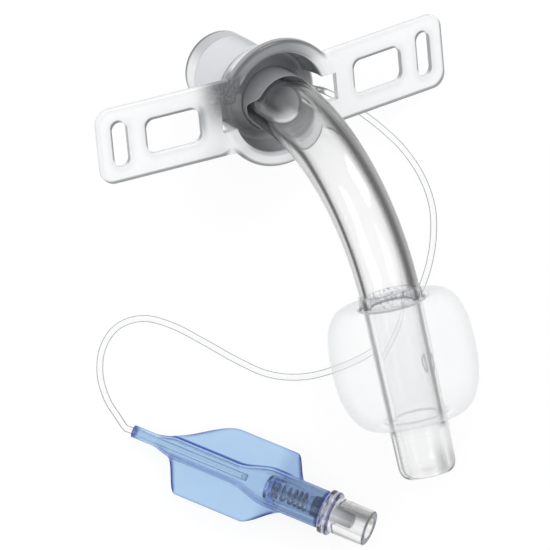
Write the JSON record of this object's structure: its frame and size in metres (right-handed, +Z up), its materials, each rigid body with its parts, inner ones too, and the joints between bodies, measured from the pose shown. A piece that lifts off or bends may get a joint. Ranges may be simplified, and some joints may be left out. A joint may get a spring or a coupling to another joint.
{
  "type": "cuffed tracheostomy tube",
  "caption": "Curved clear breathing tube with a winged neck plate, round inflatable cuff, conical circuit connector, and a thin line to a blue pilot balloon with a check valve.",
  "frame": {"origin": "on the resting surface, under the middle of the bounding box of the tube, neck plate, connector and cuff", "axes": "+Z up from the table the tube lies on; the tube's far straight part runs towards -Y as seen from above, the connector is towards +Y, and the neck plate's wings run mostly along X"},
  "size_m": [0.0805, 0.1089, 0.0375],
  "materials": {
    "cannula": "clear glossy PVC",
    "neck_flange": "clear soft PVC, slightly milky",
    "machine_connector": "translucent frosted",
    "cuff": "thin clear film",
    "inflation_line": "clear thin tubing",
    "pilot_balloon": "translucent blue film",
    "valve_body": "clear moulded plastic",
    "valve_plunger": "grey-white moulded plastic",
    "valve_seal": "black",
    "valve_spring": "drawn wire"
  },
  "bodies": {
    "tube_set": {"cannula": "cannula", "neck_flange": "neck_flange", "machine_connector": "machine_connector", "cuff": "cuff", "inflation_line": "inflation_line", "pilot_balloon": "pilot_balloon", "valve_body": "valve_body", "valve_spring": "valve_spring"},
    "plunger_set": {"valve_plunger": "valve_plunger", "valve_seal": "valve_seal"}
  },
  "joints": [
    {"name": "valve_plunger_slide", "type": "slide", "parent": "tube_set", "child": "plunger_set", "axis": [-0.7902, 0.6108, -0.0499], "range_m": [0, 0.0015], "stiffness_N_per_m": 300, "springref_m": -0.002, "deforming": ["valve_spring"]}
  ]
}
